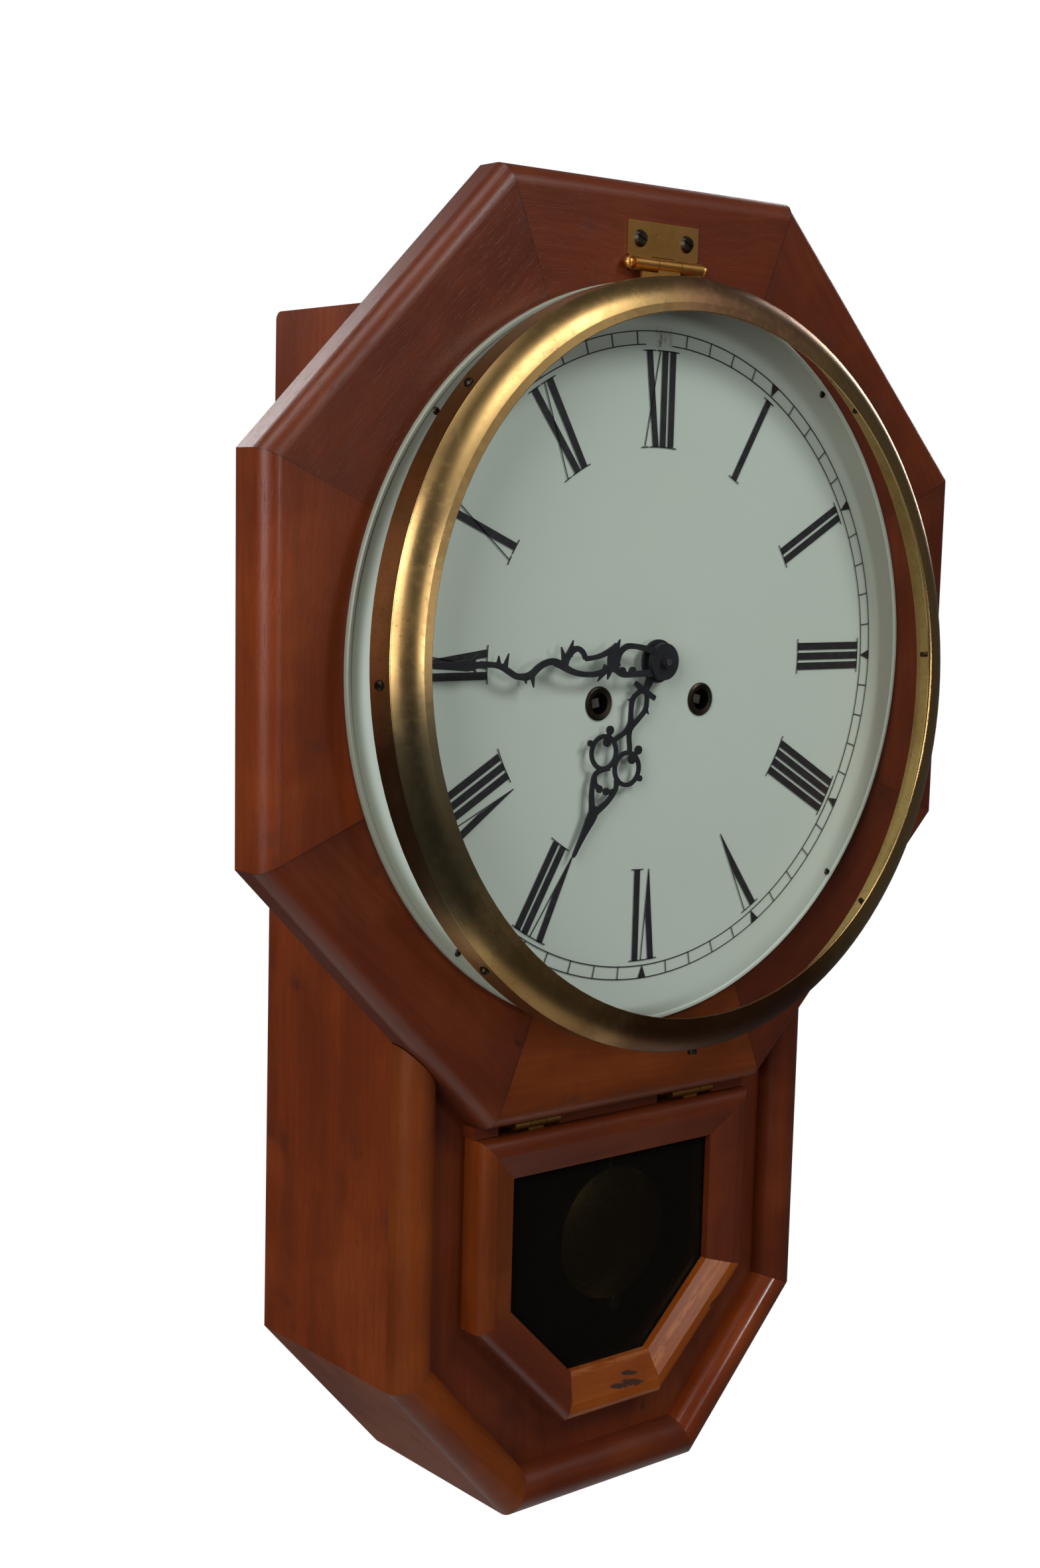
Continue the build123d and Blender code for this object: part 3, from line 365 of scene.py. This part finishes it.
brassDict = {  # a patch is its centre, radius, tone and amount; the top one is tarnish, the three low on the left and at the bottom are painted reflections
    "bezel": {"clean": paint(214, 176, 116), "aged": paint(166, 130, 80), "dark": paint(84, 64, 44),
              "film": 0.7, "gloss": 0.23, "patches": [
                  (dialCentre + Vector((0.035, -0.025, 0.172)), 0.075, paint(150, 108, 84), 0.8),
                  # painted reflections: the dark olive at the lower left and the coppery browns towards the
                  # bottom stand for the dark room and the wood that the brass mirrors
                  (dialCentre + Vector((-0.155, -0.045, -0.06)), 0.075, paint(76, 72, 56), 0.9),
                  (dialCentre + Vector((-0.10, -0.035, -0.15)), 0.05, paint(110, 78, 40), 0.7),
                  (dialCentre + Vector((0.02, -0.045, -0.175)), 0.12, paint(84, 48, 28), 0.95),
                  (dialCentre + Vector((-0.12, -0.025, 0.125)), 0.07, paint(140, 112, 70), 0.7)]},
    "hinge": {"clean": paint(196, 144, 78), "aged": paint(146, 106, 60), "dark": paint(50, 38, 28),
              "film": 0.9, "gloss": 0.34},
    "movement": {"clean": paint(220, 184, 110), "aged": paint(180, 142, 84), "dark": paint(90, 66, 40),
                 "film": 0.5, "gloss": 0.22},
    "bob": {"clean": paint(206, 160, 92), "aged": paint(150, 112, 66), "dark": paint(70, 52, 34),
            "film": 0.8, "gloss": 0.26},
}
brassNodes = {
    "bezel": ["bezel_ring", "bezel_retainer"],
    "hinge": ["bezel_hinge_upper", "bezel_hinge_lower", "door_hinge_fixed_left", "door_hinge_fixed_right",
              "door_hinge_moving_left", "door_hinge_moving_right"],
    "movement": ["plate_front", "plate_back", "minute_wheel", "hour_wheel", "time_great_wheel",
                 "strike_great_wheel"],
    "bob": ["pendulum_bob"],
}
for kind, names in brassNodes.items():
    finish = brassFinish(kind + "_brass", brassDict[kind], tarnishAndReflectionDict)
    for name in names:
        dress(name, finish)


# steel and blackened metal: colour = clean to aged by cloudy noise; roughness = gloss + scratches, which are
# fine noise drawn out along z and also the height
def metalFinish(name, metal):
    f = Finish(name)
    cloud = f.noise(f.place, scale=90, detail=4)
    scratch = f.noise(f.stretch(f.place, (300, 300, 40)), detail=4, rough=0.7)
    colour = f.mix(cloud.step(0.4, 0.7), metal["clean"], metal["aged"])
    f.set(Base_Color=colour, Metallic=metal["metal"], Roughness=metal["gloss"] + scratch * 0.15,
          Normal=f.bump(scratch, 0.00002, 0.4))
    return f


metalDict = {
    "blackHand": {"clean": paint(26, 26, 32), "aged": paint(38, 38, 44), "metal": 0.0, "gloss": 0.42},
    "darkSteel": {"clean": paint(70, 62, 52), "aged": paint(46, 38, 30), "metal": 1.0, "gloss": 0.34},
    "brightSteel": {"clean": paint(176, 174, 170), "aged": paint(130, 124, 116), "metal": 1.0,
                    "gloss": 0.25},
    "blueSteel": {"clean": paint(60, 66, 84), "aged": paint(46, 44, 52), "metal": 1.0, "gloss": 0.3},
}
metalNodes = {
    "blackHand": ["minute_hand", "hour_hand", "hand_nut"],
    "darkSteel": ["bezel_screws", "case_screws", "hanger_plate", "winding_eyelets"],
    "brightSteel": ["centre_arbor", "time_arbor", "strike_arbor", "pendulum_rod", "hammer", "door_bead"],
    "blueSteel": ["gong"],
}
for kind, names in metalNodes.items():
    finish = metalFinish(kind, metalDict[kind])
    for name in names:
        dress(name, finish)


dialDict = {
    "clean": paint(214, 227, 217), "warm": paint(216, 224, 210), "warmAmount": 0.5,
    "stain": paint(180, 170, 146), "stainAmount": 0.35,
    # painted shadow of the bezel: the tone, amount and soft edge of the darkened rim on the left of the dial
    "bezelShadow": paint(124, 124, 104), "bezelShadowAmount": 0.8, "clear": 0.164, "bezelShadowEdge": 0.006,
    "bare": paint(104, 88, 74), "bareAmount": 0.8,
    "scrape": (0.001, 0.149), "scrapeHalf": (0.007, 0.006), "scrapeCore": 0.002,
}


# enamelled dial: colour = clean to warm by slow noise, to stain in rare spots, to a painted shadow of the
# bezel past the clear radius on the left, and to bare metal in a scrape at twelve; roughness and height are
# fine noise
def dialFinish(name, dial):
    f = Finish(name)
    soft = f.noise(f.place, scale=9, detail=3)
    fine = f.noise(f.place, scale=900, detail=2)
    stain = f.noise(f.place, scale=60, detail=5, rough=0.7)
    colour = f.mix(soft.step(0.35, 0.7) * dial["warmAmount"], dial["clean"], dial["warm"])
    colour = f.mix(stain.step(0.70, 0.80) * dial["stainAmount"], colour, dial["stain"])
    x, y, z = f.split(f.place)
    dx, dz = x - dialCentre.x, z - dialCentre.z
    radius = (dx * dx + dz * dz) ** 0.5
    # painted shadow: past the clear radius and only on the left, the rim is darkened where the bezel shades
    # it
    bezelShadow = radius.step(dial["clear"], dial["clear"] + dial["bezelShadowEdge"]) * dx.step(0.05, -0.03)
    colour = f.mix(bezelShadow * dial["bezelShadowAmount"], colour, dial["bezelShadow"])
    scrape = f.noise(f.stretch(f.place, (420, 420, 160)), detail=5, rough=0.75)
    (middleX, middleZ), (halfX, halfZ), core = dial["scrape"], dial["scrapeHalf"], dial["scrapeCore"]
    flaked = abs(dx - middleX).step(halfX, core) * abs(dz - middleZ).step(halfZ, core)
    colour = f.mix(flaked * scrape.step(0.46, 0.58) * dial["bareAmount"], colour, dial["bare"])
    f.set(Base_Color=colour, Roughness=0.36 + fine * 0.08, Normal=f.bump(fine, 0.00002, 0.3))
    return f


dress("dial_pan", dialFinish("dial_paint", dialDict))

glassDict = {
    "bezel": {"tint": paint(30, 34, 32), "mirror": 0.5, "dust": 0.006, "film": 0.015,
              "clear": (0.985, 0.99, 0.985, 1)},
    "door": {"tint": paint(74, 70, 60), "mirror": 0.4, "dust": 0.03, "film": 0.06,
             "clear": (0.5, 0.5, 0.49, 1)},
}


# window glass: see-through, mixed with a shiny surface by share = facing to the fifth times mirror, plus
# dust noise, plus film
def glassFinish(name, glass):
    f = Finish(name)
    dust = f.noise(f.place, scale=35, detail=5, rough=0.7)
    f.set(Base_Color=glass["tint"], Roughness=0.04, Specular_IOR_Level=0.5)
    clear = f.add("ShaderNodeBsdfTransparent", {}, {"Color": glass["clear"]})
    facing = f.add("ShaderNodeLayerWeight", {}, {"Blend": 0.5}, "Facing")
    share = facing ** 5 * glass["mirror"] + dust.step(0.5, 0.8) * glass["dust"] + glass["film"]
    surface = f.add("ShaderNodeMixShader", {}, {0: share, 1: clear, 2: Wire(f, f.shader.outputs[0])})
    f.put(f.nodes["Material Output"].inputs["Surface"], surface)
    return f


for kind, glass in glassDict.items():
    dress(kind + "_glass", glassFinish(kind + "_pane", glass))
print("metal, paint and glass finished")


# a flat strip of paint: its middle line runs through points (x, z), widths is its whole width at each of
# them, and it stands thick in front of y = 0; its four long sides and two ends are quads that face outward
def strip(points, widths, thick, closed=False):
    points = np.array(points, float)
    widths = np.broadcast_to(np.array(widths, float), (len(points),))
    if closed:
        ahead = np.roll(points, -1, 0) - np.roll(points, 1, 0)
    else:
        ahead = np.gradient(points, axis=0)
    ahead /= np.linalg.norm(ahead, axis=1)[:, None]
    side = np.stack([-ahead[:, 1], ahead[:, 0]], 1) * widths[:, None] / 2
    left, right = points + side, points - side
    flat = np.stack([left, right, right, left], 1)
    depth = np.array([-thick, -thick, 0, 0])[None, :].repeat(len(points), 0)
    verts = np.stack([flat[:, :, 0], depth, flat[:, :, 1]], 2).reshape(-1, 3)
    count = len(points)
    ring = np.arange(count if closed else count - 1)
    following = (ring + 1) % count
    faces = [np.stack([ring * 4 + k, ring * 4 + (k + 1) % 4, following * 4 + (k + 1) % 4,
                       following * 4 + k], 1) for k in range(4)]
    if not closed:
        faces += [np.array([[3, 2, 1, 0]]), np.array([[0, 1, 2, 3]]) + (count - 1) * 4]
    return verts, np.concatenate(faces)


# joins strips into one piece, which rides on a body and wears the finish given to it
def meshPiece(name, parts, finish, body):
    verts, faces, start = [], [], 0
    for partVerts, partFaces in parts:
        verts.append(partVerts)
        faces.append(partFaces + start)
        start += len(partVerts)
    mesh = bpy.data.meshes.new(name)
    mesh.from_pydata(np.concatenate(verts).tolist(), [], np.concatenate(faces).tolist())
    mesh.update()
    piece = bpy.data.objects.new(name, mesh)
    bpy.context.scene.collection.objects.link(piece)
    mesh.materials.append(finish.material)
    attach(piece, body)


printDict = {
    "thick": 0.05 * mm,
    "inner": 99.2 * mm, "outer": 143.1 * mm,      # the numerals' feet and tops
    "bar": 3.6 * mm, "hair": 0.5 * mm, "tip": 0.1 * mm,
    "pitch": 4.95 * mm, "span": {"I": 1.0, "V": 2.0, "X": 1.9},    # a letter's room, in pitches
    "lean": 2.8 * mm,                             # the sideways run of a thick stroke, from the middle
    "hairTop": 4.0 * mm, "hairFoot": 3.9 * mm,    # the sideways run of an X's thin stroke
    "xBar": 0.97,                                 # an X's thick stroke, as a share of bar
    "vHair": 3.6 * mm, "vBend": 0.55 * mm,        # the thin stroke of a V, and the bend of its thick one
    "serif": 2.0 * mm, "serifGap": 0.4 * mm,      # a serif's reach past the strokes; closer ones join up
    "trackIn": 145.7 * mm, "trackOut": 151.8 * mm,
    "point": 5.0 * mm,                            # width of a five-minute point
    "worn": 4.0, "wornAfter": 2.5,                # degrees before and after twelve where the track is gone
}


# across and outward on a numeral that stands at a clock angle, to x and z on the dial
def onDial(clock, across, outward):
    a = np.radians(clock)
    across, outward = np.asarray(across, float), np.asarray(outward, float)
    return np.stack([across * np.cos(a) + outward * np.sin(a), outward * np.cos(a) - across * np.sin(a)], -1)


def arcPoints(radius, start, end, count):
    a = np.radians(np.linspace(start, end, count))
    return np.stack([radius * np.sin(a), radius * np.cos(a)], 1)


# a numeral's strokes, letter by letter from the left, then its serifs, which are arcs over the strokes'
# ends; an X leans its thick stroke from outer left to inner right
def numeralStrips(clock, letters, values):
    inner, outer, bar, hair, lean = (values[key] for key in ("inner", "outer", "bar", "hair", "lean"))
    parts, topMarks, footMarks = [], [], []
    width = {letter: share * values["pitch"] for letter, share in values["span"].items()}
    place = -sum(width[c] for c in letters) / 2
    for letter in letters:
        mid = place + width[letter] / 2
        if letter == "I":
            ends = ((mid, mid, bar),)
        elif letter == "X":
            ends = ((mid - lean, mid + lean, bar * values["xBar"]),
                    (mid + values["hairTop"], mid - values["hairFoot"], hair))
        else:
            ends = ((mid + values["vHair"], mid, hair),)
            across = [mid - values["tip"], mid - values["vBend"], mid - lean]
            path = onDial(clock, across, [inner, inner + 0.5 * (outer - inner), outer])
            parts.append(strip(path, [values["tip"], bar, bar], values["thick"]))
            topMarks.append((mid - lean, bar))
        for top, foot, wide in ends:
            parts.append(strip(onDial(clock, [foot, top], [inner, outer]), wide, values["thick"]))
            topMarks.append((top, wide))
            if letter != "V":
                footMarks.append((foot, wide))
        place += width[letter]
    for radius, marks in ((outer, topMarks), (inner, footMarks)):
        marks.sort()
        groups = []
        for middle, wide in marks:
            low, high = middle - wide / 2 - values["serif"], middle + wide / 2 + values["serif"]
            if groups and low < groups[-1][1] + values["serifGap"]:
                groups[-1][1] = high
            else:
                groups.append([low, high])
        for low, high in groups:
            start, end = clock + np.degrees(np.array([low, high]) / radius)
            parts.append(strip(arcPoints(radius, start, end, 9), hair, values["thick"]))
    return parts


# twelve numerals, two hair circles and the minutes between them, moved to the dial's face
def makePrint(values):
    numerals = ["XII", "I", "II", "III", "IIII", "V", "VI", "VII", "VIII", "IX", "X", "XI"]
    strips = []
    for hour, letters in enumerate(numerals):
        strips += numeralStrips(hour * 30, letters, values)
    inner, outer = values["trackIn"], values["trackOut"]
    hair, thick = values["hair"], values["thick"]
    strips.append(strip(arcPoints(inner, values["wornAfter"], 360 - values["worn"], 300), hair, thick))
    strips.append(strip(arcPoints(outer, 0, 360, 361)[:-1], hair, thick, closed=True))
    for minute in range(60):
        middleLine = onDial(minute * 6, [0, 0], [inner, outer])
        if minute % 5:
            strips.append(strip(middleLine, hair, thick))
        elif minute:
            strips.append(strip(middleLine, [values["tip"], values["point"]], thick))
    return [(verts + np.array(dialCentre), faces) for verts, faces in strips]


# print: colour = black to worn black by noise; roughness rises with the same noise
def printFinish(name, black, worn):
    f = Finish(name)
    wear = f.noise(f.place, scale=240, detail=4, rough=0.7)
    colour = f.mix(wear.step(0.45, 0.8), black, worn)
    f.set(Base_Color=colour, Roughness=0.42 + wear * 0.1)
    return f


meshPiece("dial_print", makePrint(printDict),
          printFinish("numeral_paint", paint(38, 36, 42), paint(58, 56, 60)), "case")
print("dial printed")

# camera: stands to the front left of the clock, a little above the dial; right, up and back are its axes
cameraDict = {
    "place": (-0.688008, -0.861016, -0.109285),
    "right": (0.7722684, -0.6347695, 0.0258672),
    "up": (0.0570841, 0.1098861, 0.9923036),
    "back": (-0.6327265, -0.7648481, 0.1210968),
    "lens": 49.183, "sensor": 36,
}


def makeCamera(values):
    data = bpy.data.cameras.new("studioCamera")
    data.sensor_fit = "VERTICAL"
    data.sensor_height = values["sensor"]
    data.lens = values["lens"]
    camera = bpy.data.objects.new("studioCamera", data)
    turn = Matrix((values["right"], values["up"], values["back"])).transposed()
    camera.matrix_world = Matrix.Translation(values["place"]) @ turn.to_4x4()
    bpy.context.scene.collection.objects.link(camera)
    bpy.context.scene.camera = camera


makeCamera(cameraDict)


# soft boxes: bearing is in degrees left of straight ahead, lift is the angle above level
lightAim = Vector((0, dialFace, -0.3))
lightDict = {
    "windowBox": {"bearing": 66, "lift": 20, "distance": 2.2, "size": (1.3, 1.5), "power": 30,
                  "tint": (1.0, 0.985, 0.985)},
    "roomBox": {"bearing": -22, "lift": 42, "distance": 2.4, "size": (0.9, 0.7), "power": 19,
                "tint": (0.98, 1.0, 0.98)},
    "glintBox": {"bearing": -9, "lift": 9, "distance": 2.4, "size": (0.2, 0.5), "power": 5.0},
    "topBox": {"bearing": 75, "lift": 68, "distance": 2.2, "size": (0.9, 0.9), "power": 9},
    "sideBox": {"bearing": -118, "lift": 22, "distance": 2.4, "size": (0.8, 1.2), "power": 16},
    "backBox": {"bearing": 168, "lift": 30, "distance": 2.4, "size": (1.0, 1.0), "power": 20},
}


def softBox(name, box):
    data = bpy.data.lights.new(name, "AREA")
    data.shape = "RECTANGLE"
    data.size, data.size_y = box["size"]
    data.energy = box["power"]
    data.color = box.get("tint", (1, 1, 1))
    lamp = bpy.data.objects.new(name, data)
    bearing, lift = math.radians(box["bearing"]), math.radians(box["lift"])
    away = Vector((-math.sin(bearing) * math.cos(lift), -math.cos(bearing) * math.cos(lift), math.sin(lift)))
    lamp.location = lightAim + away * box["distance"]
    lamp.rotation_euler = (-away).to_track_quat("-Z", "Y").to_euler()
    bpy.context.scene.collection.objects.link(lamp)


for name, box in lightDict.items():
    softBox(name, box)


# world: white where the camera looks past the clock, dim grey for the light that it gives
def makeWorld(glow, seenGlow):
    world = bpy.data.worlds.new("studio")
    bpy.context.scene.world = world
    world.use_nodes = True
    tree = world.node_tree
    seen = tree.nodes.new("ShaderNodeLightPath")
    back = tree.nodes["Background"]
    mixer = tree.nodes.new("ShaderNodeMix")
    tree.links.new(seen.outputs["Is Camera Ray"], mixer.inputs[0])
    mixer.inputs[2].default_value = glow
    mixer.inputs[3].default_value = seenGlow
    tree.links.new(mixer.outputs[0], back.inputs["Strength"])
    back.inputs["Color"].default_value = (1, 1, 1, 1)


makeWorld(0.05, 1.0)

floorDict = {"radius": 1.1, "drop": 1.0, "sides": 96}


# pale round floor under the clock; paper: colour = one pale grey to another by noise
def makeFloor(values):
    sides, radius = values["sides"], values["radius"]
    a = np.linspace(0, 2 * math.pi, sides, endpoint=False)
    rim = np.stack([radius * np.cos(a), radius * np.sin(a), np.full(sides, lowCad.z - values["drop"])], 1)
    mesh = bpy.data.meshes.new("floor")
    mesh.from_pydata(rim.tolist(), [], [list(range(sides))])
    floor = bpy.data.objects.new("floor", mesh)
    bpy.context.scene.collection.objects.link(floor)
    f = Finish("floor_paper")
    grain = f.noise(f.place, scale=40, detail=3)
    f.set(Base_Color=f.mix(grain, paint(232, 232, 230), paint(240, 240, 238)), Roughness=0.8)
    mesh.materials.append(f.material)
    floor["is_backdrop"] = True


makeFloor(floorDict)
bpy.context.scene.view_settings.view_transform = "Standard"
print("camera, lights and floor placed")

low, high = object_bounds()
